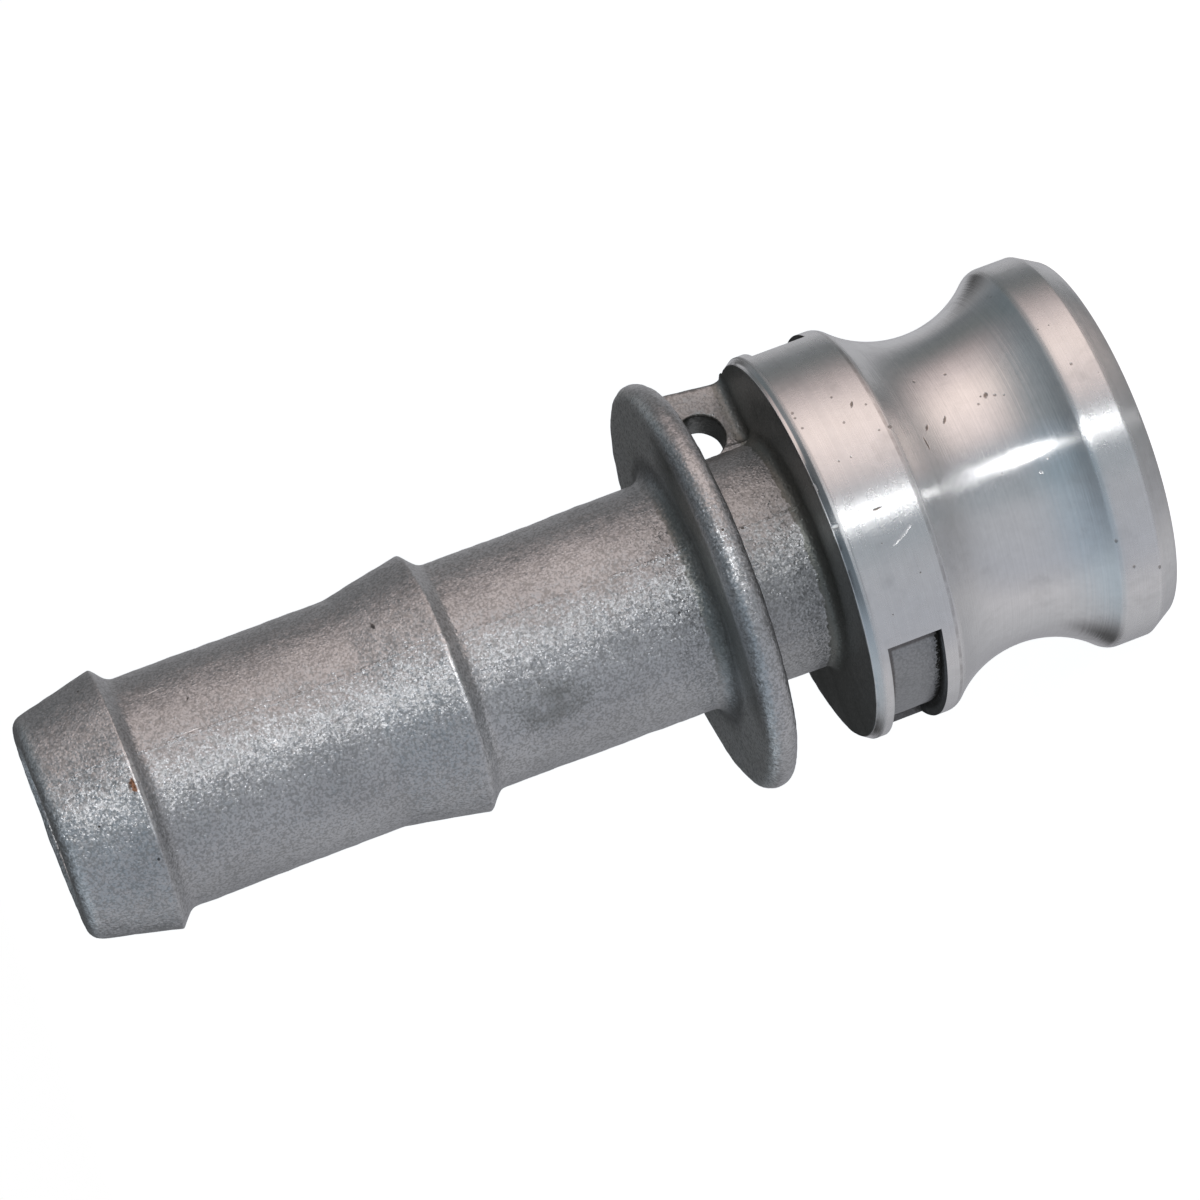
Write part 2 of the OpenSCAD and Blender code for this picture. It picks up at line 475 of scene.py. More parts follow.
# %% [markdown]
# The hole is cored or drilled through and its edges are worn round. Its cutter is a
# cylinder along Y whose two ends are extruded and widened like a trumpet, so that one
# cut makes the hole and both of its soft edges.

# %% Hole cutter
HOLE_R = 1.95
HOLE_X = 11.1
HOLE_Z = 29.55
HOLE_SIDES = 56
HOLE_STRAIGHT = 2 * (WEB_HALF - 0.3)
# How far past the straight part each ring of the trumpet lies, and its radius.
HOLE_FLARE = ((0.15, 1.98), (0.27, 2.06), (0.36, 2.2), (1.6, 2.24))

deselect_everything()
bpy.ops.mesh.primitive_cylinder_add(
    vertices=HOLE_SIDES, radius=HOLE_R * MM, depth=HOLE_STRAIGHT * MM, location=(0, 0, 0)
)
cutter = bpy.context.object
cutter.name = "hole_cutter"
for side in (1, -1):
    select_faces(cutter, lambda centre, normal: normal.z * side > 0.9)
    spread = HOLE_R
    rise = 0.0
    for next_rise, next_spread in HOLE_FLARE:
        extrude_up(side * (next_rise - rise))
        share = next_spread / spread
        widen(share, share)
        spread = next_spread
        rise = next_rise
    mode("OBJECT")
mode("EDIT")
select_all()
bpy.ops.transform.rotate(value=math.radians(90), orient_axis="X", center_override=(0, 0, 0))
bpy.ops.transform.translate(value=(HOLE_X * MM, 0, HOLE_Z * MM))
mode("OBJECT")


# %% Join the web and cut the hole
def cut_or_join(piece, other, operation):
    """Applies a Boolean of one piece with another, and removes the other."""
    select_only(piece)
    boolean = piece.modifiers.new(operation.lower(), "BOOLEAN")
    boolean.operation = operation
    boolean.solver = "EXACT"
    boolean.object = other
    bpy.ops.object.modifier_apply(modifier=boolean.name)
    bpy.data.objects.remove(other)
    print(operation.capitalize(), "leaves", len(piece.data.polygons), "faces")


cut_or_join(casting, web, "UNION")
cut_or_join(casting, cutter, "DIFFERENCE")

# %% [markdown]
# ## What the lathe cut and what the mould left
# The real adapter has two skins on one body, so each face goes into one of two material
# slots by its place. The lands, the groove, the lead-in cone, the sealing face and the
# rim's chamfer were turned. The notches and all behind the head are as cast.

# %% Sort the faces
def is_turned(centre, normal):
    r = radius_of(centre)
    if centre.z > HEAD_LEN - CLOSE or r < MOUTH_R + CLOSE:
        return False
    if NOTCH_LOW < centre.z < NOTCH_HIGH and r < HEAD_R - CLOSE:
        return False
    on_notch_wall = NOTCH_LOW - CLOSE < centre.z < NOTCH_HIGH + CLOSE and abs(normal.z) > 0.9
    return not on_notch_wall


turned_skin = bpy.data.materials.new("turned_aluminium")
cast_skin = bpy.data.materials.new("cast_aluminium")
casting.data.materials.clear()
casting.data.materials.append(cast_skin)
casting.data.materials.append(turned_skin)
turned_count = select_faces(casting, is_turned)
casting.active_material_index = 1
bpy.ops.object.material_slot_assign()
mode("OBJECT")
print("Turned faces:", turned_count, "of", len(casting.data.polygons))

# %% [markdown]
# ## The unevenness of a sand casting
# A cast surface has soft waves some millimetres long, and small lumps where the sand was
# rough. Both show at the outline, so they are shape and not only bump: two Displace
# modifiers move the cast vertices, and a vertex group holds the turned head still.

# %% Waves and lumps
SMOOTH_ANGLE = 32

cast_only = casting.vertex_groups.new(name="cast_only")
turned_vertices = set()
for face in casting.data.polygons:
    if face.material_index == 1:
        turned_vertices.update(face.vertices)
free = [v.index for v in casting.data.vertices if v.index not in turned_vertices]
cast_only.add(free, 1.0, "REPLACE")
print("Cast vertices that may move:", len(free))


def roughen(piece, name, lump_size, height):
    """Moves the cast vertices in and out by a cloud texture."""
    clouds = bpy.data.textures.new(name, "CLOUDS")
    clouds.noise_scale = lump_size * MM
    clouds.noise_depth = 2
    displace = piece.modifiers.new(name, "DISPLACE")
    displace.texture = clouds
    displace.texture_coords = "LOCAL"
    displace.vertex_group = "cast_only"
    displace.mid_level = 0.5
    displace.strength = height * MM
    bpy.ops.object.modifier_apply(modifier=name)


select_only(casting)
roughen(casting, "mould_waves", 5.0, 0.16)
roughen(casting, "sand_lumps", 1.1, 0.1)
bpy.ops.object.shade_smooth_by_angle(angle=math.radians(SMOOTH_ANGLE))

# %% [markdown]
# A closed skin has exactly two faces at each edge. Counting them shows whether the
# Booleans left a gap or a stray face.

# %% Count the mesh
triangles = sum(len(face.vertices) - 2 for face in casting.data.polygons)
sides = {}
for face in casting.data.polygons:
    for key in face.edge_keys:
        sides[key] = sides.get(key, 0) + 1
odd_edges = sum(1 for count in sides.values() if count != 2)
print("Casting:", triangles, "triangles,", odd_edges, "edges without exactly two faces")

# %% [markdown]
# ## Shader effects that both skins share
# Each effect is a node group with named inputs and outputs. A group puts out only
# heights, masks and values. The shader itself stays in the material. First come small
# helpers, so that a line of code says what a node does and not how it is wired.

# %% Helpers for nodes
def feed(node, inputs):
    """Fills a node's inputs with values or with links."""
    for socket, value in inputs.items():
        if isinstance(value, bpy.types.NodeSocket):
            node.id_data.links.new(value, node.inputs[socket])
        else:
            node.inputs[socket].default_value = value


def add(tree, kind, inputs=None, **settings):
    """Adds a node, sets its settings and feeds it."""
    made = tree.nodes.new("ShaderNode" + kind)
    for name, value in settings.items():
        setattr(made, name, value)
    feed(made, inputs or {})
    return made


def add_after(kind, inputs, **settings):
    """Adds a node to the tree of the nodes that feed it, and returns its first output."""
    fed_by = [value for value in inputs.values() if isinstance(value, bpy.types.NodeSocket)]
    return add(fed_by[0].id_data, kind, inputs, **settings).outputs[0]


def maths(operation, *values, clamp=False):
    """A Math node's result."""
    return add_after("Math", dict(enumerate(values)), operation=operation, use_clamp=clamp)


def times(first, *others):
    """The product of masks or values."""
    for other in others:
        first = maths("MULTIPLY", first, other)
    return first


def most(first, *others):
    """The largest of masks or values."""
    for other in others:
        first = maths("MAXIMUM", first, other)
    return first


def rest_of(mask):
    """Where a mask isn't."""
    return maths("SUBTRACT", 1.0, mask)


def with_share(start, *shares):
    """A value with further values added, each times its share."""
    for value, share in shares:
        start = maths("MULTIPLY_ADD", value, share, start)
    return start


def between(value, low, high, to_low=0.0, to_high=1.0):
    """A smooth step from one value to another."""
    inputs = {0: value, 1: low, 2: high, 3: to_low, 4: to_high}
    return add_after("MapRange", inputs, interpolation_type="SMOOTHSTEP")


def near(value, middle, gone, full=None):
    """1 near a value, as far as full or half of gone, and 0 beyond gone."""
    off = maths("ABSOLUTE", maths("SUBTRACT", value, middle))
    return between(off, gone * 0.5 if full is None else full, gone, 1.0, 0.0)


def noise(place, scale, detail=3.0, roughness=0.55):
    """A Noise texture's value."""
    inputs = {"Vector": place, "Scale": scale, "Detail": detail, "Roughness": roughness}
    return add_after("TexNoise", inputs)


def cells_at(place, scale):
    """A Voronoi texture's distance from the nearest cell's point, and its random colour."""
    texture = add_after("TexVoronoi", {"Vector": place, "Scale": scale}).node
    return texture.outputs["Distance"], texture.outputs["Color"]


# %% Helpers for colours
def tone(red, green=None, blue=None):
    """An opaque colour, grey where only one value is given."""
    return (red, red, red, 1) if green is None else (red, green, blue, 1)


def blend(share, colour_a, colour_b, kind="MIX"):
    """A colour between two."""
    inputs = {0: share, 6: colour_a, 7: colour_b}
    return add_after("Mix", inputs, data_type="RGBA", blend_type=kind).node.outputs[2]


def painted(colour, layers):
    """Lays tones over a colour, each where its mask is and as strong as its share."""
    for mask, share, layer in layers:
        colour = blend(times(mask, share), colour, layer)
    return colour


# %% Helpers for places on the part
def object_place(tree):
    return add(tree, "TexCoord").outputs["Object"]


def xyz_of(vector):
    """The three parts of a vector."""
    return list(add_after("SeparateXYZ", {0: vector}).node.outputs)


def in_mm(metres):
    return maths("MULTIPLY", metres, 1 / MM)


def length_of(x, y):
    """The length of a line with these two parts."""
    flat = add_after("CombineXYZ", {0: x, 1: y})
    return add_after("VectorMath", {0: flat}, operation="LENGTH").node.outputs["Value"]


def axis_distance(place):
    """The distance from the part's axis and the height above the sealing face, in mm."""
    x, y, z = xyz_of(place)
    return in_mm(length_of(x, y)), in_mm(z)


def azimuth_of(place):
    """The angle round the part's axis, in degrees."""
    x, y, z = xyz_of(place)
    return maths("MULTIPLY", maths("ARCTAN2", y, x), 180 / math.pi)


def per_metre_of(spacing):
    """How many steps of a spacing in mm go into a metre, as textures want it."""
    return maths("DIVIDE", 1 / MM, spacing)


# %% Helpers for groups
def new_group(name, inputs, outputs):
    """An empty node group, with the values that it is given and its output node."""
    tree = bpy.data.node_groups.new(name, "ShaderNodeTree")
    for socket, value in inputs.items():
        made = tree.interface.new_socket(socket, in_out="INPUT", socket_type="NodeSocketFloat")
        made.default_value = value
    for socket in outputs:
        tree.interface.new_socket(socket, in_out="OUTPUT", socket_type="NodeSocketFloat")
    return tree, tree.nodes.new("NodeGroupInput").outputs, tree.nodes.new("NodeGroupOutput")


def use(tree, group, **values):
    """Places a group in a material and returns its outputs."""
    inputs = {name.replace("_", " "): value for name, value in values.items()}
    return add(tree, "Group", inputs, node_tree=group).outputs


# %% [markdown]
# ### Sand grain
# The mould's sand leaves small round beads of metal. Voronoi cells give one bead a cell,
# a random share of them stands high, and two noises fill what lies between.

# %% Sand grain
grain_group, given, result = new_group(
    "sand_grain", {"Grain size": 0.25}, ["Height", "Patches", "Beads"]
)
place = object_place(grain_group)
per_metre = per_metre_of(given["Grain size"])
swirl = noise(place, times(per_metre, 0.4), 2.0, 0.6)
fine = noise(place, times(per_metre, 1.2), 2.0, 0.6)
patches = noise(place, times(per_metre, 0.07), 4.0, 0.6)
distance, cell_colour = cells_at(place, per_metre)
off = maths("POWER", distance, 2.0)
dome = maths("MULTIPLY_ADD", off, -3.2, 1.0, clamp=True)
pick = xyz_of(cell_colour)[1]
bead = times(dome, maths("POWER", pick, 2.0))
grain_height = with_share(bead, (fine, 0.7), (swirl, 0.2))
feed(result, {"Height": grain_height, "Patches": patches, "Beads": bead})

# %% [markdown]
# ### Pits
# Gas leaves pinholes in cast metal. They could be modelled, but they are a tenth of a
# millimetre wide, so they are dots in some of the cells of a wide Voronoi texture.

# %% Pits
pit_group, given, result = new_group(
    "pits", {"Spacing": 1.2, "Pit size": 0.1, "Share": 0.2}, ["Mask"]
)
place = object_place(pit_group)
per_metre = per_metre_of(given["Spacing"])
distance, cell_colour = cells_at(place, per_metre)
size_in_cells = maths("DIVIDE", given["Pit size"], given["Spacing"])
edge = times(size_in_cells, 1.5)
spot = between(distance, size_in_cells, edge, 1.0, 0.0)
pick = xyz_of(cell_colour)[0]
kept = maths("LESS_THAN", pick, given["Share"])
feed(result, {"Mask": times(spot, kept)})

# %% [markdown]
# ### Turning lines
# A lathe tool leaves a fine screw of rings. A noise in one dimension, read along the
# section, repeats round the part as they do.

# %% Turning lines
line_group, given, result = new_group("turning_lines", {"Spacing": 0.2}, ["Height", "Bands"])
place = object_place(line_group)
reach, height = axis_distance(place)
along_section = maths("MULTIPLY_ADD", reach, 0.6, height)
line_count = maths("DIVIDE", along_section, given["Spacing"])


def noise_along(value, scale, detail, roughness):
    """A Noise texture in one dimension."""
    inputs = {"W": value, "Scale": scale, "Detail": detail, "Roughness": roughness}
    return add_after("TexNoise", inputs, noise_dimensions="1D")


lines = noise_along(line_count, 1.0, 3.0, 0.7)
bands = noise_along(line_count, 0.12, 2.0, 0.6)
feed(result, {"Height": lines, "Bands": bands})

# %% [markdown]
# ### Marks of handling
# A part that lay loose in a bin has nicks, specks and scratches. Each is one ragged oval
# with its azimuth in degrees, its height, half length and half width in millimetres, and
# its turn in degrees if it is turned.

# %% One mark
MARK_GRAIN = 5000.0

mark_inputs = {"Azimuth": 0.0, "Height": 0.0, "Half length": 1.0, "Half width": 0.2, "Turn": 0.0}
mark_group, given, result = new_group("mark", mark_inputs, ["Mask"])
place = object_place(mark_group)
reach, height = axis_distance(place)
turn_off = maths("SUBTRACT", azimuth_of(place), given["Azimuth"])
round_off = times(maths("RADIANS", turn_off), reach)
height_off = maths("SUBTRACT", height, given["Height"])
turn = maths("RADIANS", given["Turn"])
cosine = maths("COSINE", turn)
sine = maths("SINE", turn)
along = maths("MULTIPLY_ADD", round_off, cosine, times(height_off, sine))
rise = times(height_off, cosine)
side = maths("SUBTRACT", rise, times(round_off, sine))
along = maths("DIVIDE", along, given["Half length"])
side = maths("DIVIDE", side, given["Half width"])
spread = with_share(length_of(along, side), (noise(place, MARK_GRAIN, 2.0, 0.6), 1.1))
feed(result, {"Mask": between(spread, 1.0, 1.6, 1.0, 0.0)})


def marks(tree, places):
    """The masks of a list of marks, joined into one."""
    joined = 0.0
    for values in places:
        mark = add(tree, "Group", dict(enumerate(values)), node_tree=mark_group)
        joined = most(joined, mark.outputs["Mask"])
    return joined


# %% [markdown]
# ## The cast skin
# Sand-cast aluminium is dull grey. It is metal under a thin, rough oxide, so it is mostly
# metallic with a high roughness. One noise in large patches makes it lighter and darker,
# and a ragged one breaks up each border that is painted later.

# %% Start the cast material
def new_material(material):
    material.use_nodes = True
    tree = material.node_tree
    tree.nodes.clear()
    shader = add(tree, "BsdfPrincipled")
    add(tree, "OutputMaterial", {0: shader.outputs[0]})
    return tree, shader


FRONT_AZIMUTH = -107.0

tree, shader = new_material(cast_skin)
place = object_place(tree)
reach, height = axis_distance(place)
round_part = azimuth_of(place)
grain = use(tree, grain_group, Grain_size=0.24)
pits = use(tree, pit_group, Spacing=2.3, Pit_size=0.09, Share=0.2)
stain = noise(place, 110.0, 5.0, 0.65)
ragged = noise(place, 1500.0, 3.0, 0.6)
outside = maths("GREATER_THAN", reach, NECK_R - 0.8)

# %% [markdown]
# ### Rubbed edges and painted crest highlights
# The barbs' crests and the collar's rim stand proud, so they are rubbed smoother in the
# bin. The crests are also painted bright: partly wear, and partly a painted highlight that
# is strongest on the front, towards the lamp.

# %% Crests and rim
CREST_HALF = 0.26

inner_crest = near(height, INNER_CREST + 0.05, CREST_HALF)
end_crest = near(height, END_CREST - 0.08, CREST_HALF)
on_crest = maths("GREATER_THAN", reach, CREST_R - 0.525)
crest_wear_and_highlight = times(most(inner_crest, end_crest), on_crest)
crest_wear_and_highlight = times(crest_wear_and_highlight, between(ragged, 0.32, 0.55))
# Painted highlight: the crests' bright line is painted strongest on the front, towards the lamp.
front = near(round_part, FRONT_AZIMUTH, 24.0)
crest_wear_and_highlight = times(crest_wear_and_highlight, maths("MULTIPLY_ADD", front, 0.85, 0.12))
collar_mid = (COLLAR_LOW + COLLAR_HIGH) / 2
rim_rub = between(reach, COLLAR_R - 0.5, COLLAR_R - 0.1)
rim_rub = times(rim_rub, near(height, collar_mid, 1.2))

# %% [markdown]
# ### Painted shade behind the head and the collar
# The head's back and the corner behind the collar are painted nearly black, as painted
# shade in the gap; the corner's is darkest on the front. The neck between them is darker,
# partly as dirt and partly as painted shade, and the web and its hole's wall get painted shade.

# %% Painted shade
WOBBLE = 0.9
SHADE_EDGE = 0.15

wobble = maths("MULTIPLY_ADD", ragged, WOBBLE, height)
above_land = maths("GREATER_THAN", height, HEAD_LEN - 0.5)
back_end = HEAD_LEN + 1.45
head_back = between(wobble, back_end, back_end + SHADE_EDGE, 1.0, 0.0)
head_back = times(head_back, above_land)
corner = between(wobble, COLLAR_HIGH + 1.55, COLLAR_HIGH + 1.8, 1.0, 0.0)
corner = times(corner, maths("GREATER_THAN", height, COLLAR_HIGH - 0.5))
corner = times(corner, between(reach, 10.4, 11.8, 1.0, 0.0))
collar_front = near(round_part, FRONT_AZIMUTH, 64.0)
# Painted shade in the corner behind the collar, darkest on the front.
painted_gap_shade = times(corner, maths("MULTIPLY_ADD", collar_front, 0.55, 0.2))
back_share = between(reach, NECK_R + 0.1, 11.2, 0.93, 0.72)
# Painted shade on the head's back, in the gap under the collar.
painted_gap_shade = most(painted_gap_shade, times(head_back, back_share))
painted_gap_shade = times(painted_gap_shade, outside)

# %% The neck, the web and its hole
# The neck is darker partly as dirt and partly as painted shade; the web gets painted shade.
in_neck = near(height, 29.7, 5.8)
in_neck = times(in_neck, maths("LESS_THAN", reach, WEB_COLLAR_REACH + 0.2))
in_neck = times(in_neck, rest_of(head_back), outside)
in_web = times(in_neck, between(reach, NECK_R + 0.5, NECK_R + 1.1))
in_web = times(in_web, between(reach, 12.5, 15.5, 1.0, 0.3))

hole_x = maths("SUBTRACT", in_mm(xyz_of(place)[0]), HOLE_X)
hole_z = maths("SUBTRACT", height, HOLE_Z)
in_hole = between(length_of(hole_x, hole_z), HOLE_R + 0.1, HOLE_R + 0.25, 0.6, 0.0)
# Painted shade on the wall of the web's hole.
painted_gap_shade = most(painted_gap_shade, in_hole)

# %% [markdown]
# ### The notches
# Their floors are as cast and darker than the shank. Painted shade lies along the wall on
# the hose's side and at both ends. Along the groove's side the lathe tore the edge, and a
# ragged black fringe hangs over the floor.

# %% Floor, painted shade and fringe of the notches
FRINGE_LOW = 19.38
FRINGE_DEPTH = 1.9
END_SHADE_ANGLE = 28.5
WALL_SHADE_LOW = 23.88

in_notch_skin = maths("GREATER_THAN", reach, NOTCH_FLOOR_R - 0.8)
in_notch_skin = times(maths("LESS_THAN", height, HEAD_LEN - 0.5), in_notch_skin)
fringe_noise = noise(place, 3200.0, 3.0, 0.75)
fringe_line = maths("MULTIPLY_ADD", fringe_noise, -FRINGE_DEPTH, height)
fringe = between(fringe_line, FRINGE_LOW, FRINGE_LOW + 0.08, 1.0, 0.0)
fringe = times(fringe, between(reach, 15.2, 15.7, 1.0, 0.35), in_notch_skin)
off_web = maths("ABSOLUTE", round_part)
off_notch_middle = maths("MINIMUM", off_web, maths("SUBTRACT", 180.0, off_web))
# Painted shade on the floor beside the notches' end walls and their wall on the hose's side.
notch_end_shade = between(off_notch_middle, END_SHADE_ANGLE, END_SHADE_ANGLE + 1.0)
hose_wall_shade = between(height, WALL_SHADE_LOW, WALL_SHADE_LOW + 0.16)
notch_wall_shade = times(most(notch_end_shade, hose_wall_shade), in_notch_skin)

# %% [markdown]
# ### Painted lighter and darker faces
# The collar's face towards the hose gets painted shade on the front and painted light at
# both sides, and the back of the inner barb and the nose are painted paler as painted light.

# %% Collar's face, barb's back and nose
collar_face = near(height, COLLAR_HIGH + 0.2, 1.1)
collar_face = times(collar_face, between(reach, 10.5, 12.0))
# Painted light on the sides of the collar's face, painted shade on its front.
collar_sides_painted_light = times(collar_face, rest_of(collar_front))
collar_front_painted_shade = times(collar_face, collar_front)
collar_front_painted_shade = times(collar_front_painted_shade, between(reach, 14.8, 16.0, 1.0, 0.0))
# Painted light on the back of the inner barb and on the nose.
barb_back_painted_light = near(height, INNER_CREST - 0.7, 0.9)
barb_back_painted_light = times(barb_back_painted_light, near(round_part, FRONT_AZIMUTH, 62.0))
nose_painted_light = between(height, TOTAL_LEN - 1.3, TOTAL_LEN - 0.6)
hollows = between(grain["Height"], 0.40, 0.54, 0.42, 0.0)

# %% [markdown]
# ### Single marks on the cast skin
# The real one has a dark smudge on the shank, three dark spots, a rust spot on the end
# barb and a few scratches. They are listed by azimuth and height.

# %% Marks on the cast skin
SMUDGES = [(-138.0, 49.6, 2.4, 3.8)]
DARK_SPOTS = [
    (-137.0, 81.9, 0.2, 0.15), (-71.5, 75.5, 0.25, 0.07, -40.0),
    (-72.0, 60.4, 0.45, 0.17, 10.0),
]
RUST_SPOTS = [(-104.0, 81.7, 0.75, 0.5)]
SCRATCHES = [
    (-59.0, 77.5, 0.06, 1.0, 8.0), (-98.0, 81.35, 0.35, 0.2),
    (-110.5, 81.35, 0.4, 0.2), (-88.5, 76.3, 0.06, 0.9),
    (-107.5, 70.6, 0.35, 0.25),
]
blotch = between(noise(place, 600.0, 3.0, 0.6), 0.3, 0.6)
smudge = times(marks(tree, SMUDGES), blotch, 0.5)
# Real scratches, joined with the crests' wear and painted highlight.
scratch_and_crest_highlight = most(crest_wear_and_highlight, marks(tree, SCRATCHES))

# %% [markdown]
# ### Colour and roughness of the cast skin
# The masks are laid over the patchy grey: first painted light and shade on the faces and
# dark grain hollows, then the notches with their painted shade, the painted shade behind the
# head with the real smudge, pits and spots, and the scratches and crest highlight last. Beads
# are smoother than what lies between them, so they glitter.

# %% Colour of the cast skin
CAST_LIGHT = tone(0.60, 0.605, 0.615)
CAST_DARK = tone(0.51, 0.515, 0.525)
BARE_AND_LIT = tone(0.9)
SMUDGE_AND_SHADE = tone(0.16, 0.165, 0.15)

colour = blend(between(stain, 0.35, 0.66), CAST_DARK, CAST_LIGHT)
colour = painted(colour, [
    # Neck: partly dirt, partly painted shade. Web (two lines down): painted shade.
    (in_neck, 0.35, tone(0.34, 0.35, 0.35)),
    # Painted light on the nose, the collar's sides and the barb's back; painted shade on the
    # collar's front.
    (nose_painted_light, 0.6, BARE_AND_LIT),
    (in_web, 0.55, tone(0.22, 0.225, 0.225)),
    (collar_sides_painted_light, 0.9, tone(0.98, 0.98, 0.97)),
    (collar_front_painted_shade, 0.85, SMUDGE_AND_SHADE),
    (barb_back_painted_light, 0.45, BARE_AND_LIT),
    (hollows, 1.0, tone(0.14, 0.14, 0.13)),
    (in_notch_skin, 0.6, tone(0.26, 0.27, 0.28)),
    # Painted shade along the notches' walls.
    (notch_wall_shade, 0.6, tone(0.08, 0.065, 0.06)),
    (fringe, 1.0, tone(0.035, 0.035, 0.03)),
    # Painted shade behind the head and the collar, with the real smudge.
    (most(painted_gap_shade, smudge), 1.0, SMUDGE_AND_SHADE),
    (pits["Mask"], 1.0, tone(0.12, 0.11, 0.1)),
    (marks(tree, DARK_SPOTS), 1.0, tone(0.1)),
    (marks(tree, RUST_SPOTS), 1.0, tone(0.2, 0.1, 0.06)),
    # Scratches, and the crests' wear with their painted highlight.
    (scratch_and_crest_highlight, 1.0, BARE_AND_LIT),
])
feed(shader, {"Base Color": colour, "Metallic": 0.94})

# %% Roughness of the cast skin
CAST_ROUGHNESS = 0.36

rough = with_share(
    CAST_ROUGHNESS, (grain["Patches"], 0.12), (grain["Beads"], -0.12),
    (rim_rub, -0.06), (scratch_and_crest_highlight, -0.04),
)
feed(shader, {"Roughness": rough})

# %% [markdown]
# ### Relief of the cast skin
# The halves of the mould left a faint, broken seam along both sides. The seam, the
# grain, the pits and the scratches are one height, which a Bump node turns into a slope.
# Bump alone gives soft dimples, while real grains flash one by one. So each cell of two
# Voronoi textures also leans its own way, by a random vector added to the normal. This
# fades where the skin is rubbed, behind the head, and on the web's side of the front.

# %% Seam and bump
SEAM_AZIMUTH = 90.8
CAST_BUMP = 0.000028

seam_turn = with_share(off_web, (stain, 1.6))
seam = near(seam_turn, SEAM_AZIMUTH, 1.1)
seam = times(seam, between(ragged, 0.38, 0.62))
dents = with_share(
    grain["Height"], (pits["Mask"], -0.7), (scratch_and_crest_highlight, -0.6), (seam, 1.3)
)
dents = times(dents, between(rim_rub, 0.0, 1.0, 1.0, 0.5))
bump = add(tree, "Bump", {"Height": dents, "Distance": CAST_BUMP, "Strength": 1.0})

# %% Grains that lean
def vector_maths(operation, *values):
    """A Vector Math node's vector."""
    return add_after("VectorMath", dict(enumerate(values)), operation=operation)


def facets(place, grain_size, tilt):
    """A random slope for each grain, as a vector to add to the normal."""
    distance, cell_colour = cells_at(place, 1 / (grain_size * MM))
    slope = vector_maths("SUBTRACT", cell_colour, (0.5, 0.5, 0.5))
    return vector_maths("MULTIPLY", slope, (tilt, tilt, tilt))


lean = vector_maths("ADD", facets(place, 0.17, 0.27), facets(place, 0.36, 0.12))
rubbed = most(crest_wear_and_highlight, times(rim_rub, 0.3))
share = between(rubbed, 0.0, 1.0, 1.0, 0.35)
share = times(share, between(height, HEAD_LEN + 0.4, HEAD_LEN + 2.8, 0.35, 1.0))
share = times(share, between(round_part, -90.0, -68.0, 1.0, 0.65))
share = add_after("CombineXYZ", {0: share, 1: share, 2: share})
lean = vector_maths("MULTIPLY", lean, share)
leaning = vector_maths("NORMALIZE", vector_maths("ADD", bump.outputs[0], lean))
feed(shader, {"Normal": leaning})
print("Cast skin:", len(tree.nodes), "nodes")

# %% [markdown]
# ## The turned skin
# The lathe leaves rings round the head, too fine for the eye to part. They stretch each
# reflection along the axis, as the shader's anisotropic reflection does. Coarser rings
# are a faint bump.

# %% Start the turned material
tree, shader = new_material(turned_skin)
place = object_place(tree)
reach, height = axis_distance(place)
round_part = azimuth_of(place)
lines = use(tree, line_group, Spacing=0.16)
pits = use(tree, pit_group, Spacing=0.9, Pit_size=0.05, Share=0.3)
stain = noise(place, 120.0, 4.0, 0.6)
dull = noise(place, 420.0, 4.0, 0.65)
mottle = noise(place, 1300.0, 4.0, 0.65)
scuffs = noise(place, 5500.0, 3.0, 0.7)
on_land = between(reach, HEAD_R - 0.45, HEAD_R - 0.05)

# %% [markdown]
# ### Single marks on the turned head
# Handling in bulk has left long nicks, small dark specks and a few bright scratches. The
# last bright mark, on the chamfer, is a painted glint.

# %% Marks on the turned head
LONG_NICKS = [
    (-87.0, 15.6, 0.42, 0.13, -32.0), (-85.5, 13.9, 0.42, 0.13, -32.0),
    (-92.5, 16.2, 0.75, 0.08, 4.0), (-106.5, 22.2, 0.09, 0.42),
    (-75.5, 20.6, 0.4, 0.12, -28.0), (-82.0, 10.1, 0.3, 0.2, -30.0),
]
SPECKS = [
    (-71.0, 25.0, 0.16, 0.14), (-73.0, 25.0, 0.14, 0.12), (-77.0, 24.9, 0.16, 0.14),
    (-70.5, 21.7, 0.15, 0.13), (-80.0, 21.8, 0.15, 0.12), (-77.0, 19.6, 0.12, 0.1),
    (-86.0, 18.7, 0.2, 0.2), (-86.0, 19.6, 0.12, 0.1), (-90.5, 23.5, 0.12, 0.1),
    (-90.5, 22.5, 0.12, 0.1), (-67.5, 14.6, 0.16, 0.14), (-84.0, 10.9, 0.14, 0.12),
    (-83.5, 9.5, 0.16, 0.14), (-85.0, 8.9, 0.12, 0.1), (-67.5, 12.0, 0.14, 0.12),
    (-87.5, 3.7, 0.14, 0.12), (-139.5, 5.0, 0.2, 0.16), (-149.5, 4.0, 0.22, 0.18),
    (-153.0, 1.9, 0.25, 0.15),
]
BRIGHT_MARKS_AND_GLINT = [
    (-115.6, 21.1, 1.15, 0.17, -60.0), (-113.5, 8.6, 0.16, 0.16),
    (-110.0, 7.8, 0.12, 0.1), (-109.5, 11.4, 0.14, 0.12),
    # A burr on the chamfer's back edge, and a painted glint on the chamfer.
    (-95.0, 25.92, 0.5, 0.16), (-107.0, 25.7, 0.22, 0.4),
]
clustered = times(pits["Mask"], between(stain, 0.5, 0.6))
speck = most(times(marks(tree, SPECKS), 0.7), clustered, marks(tree, LONG_NICKS))
bright_marks_and_glint = marks(tree, BRIGHT_MARKS_AND_GLINT)

# %% [markdown]
# ### Edges of the turned head
# Where the land drops into the groove, dirt draws a thin broken line. The rim's chamfer
# gets a painted dark reflection, darkest on the front, and a painted highlight along both
# of its edges. A thin lip of metal, which the tool pushed over, stands on its back edge.

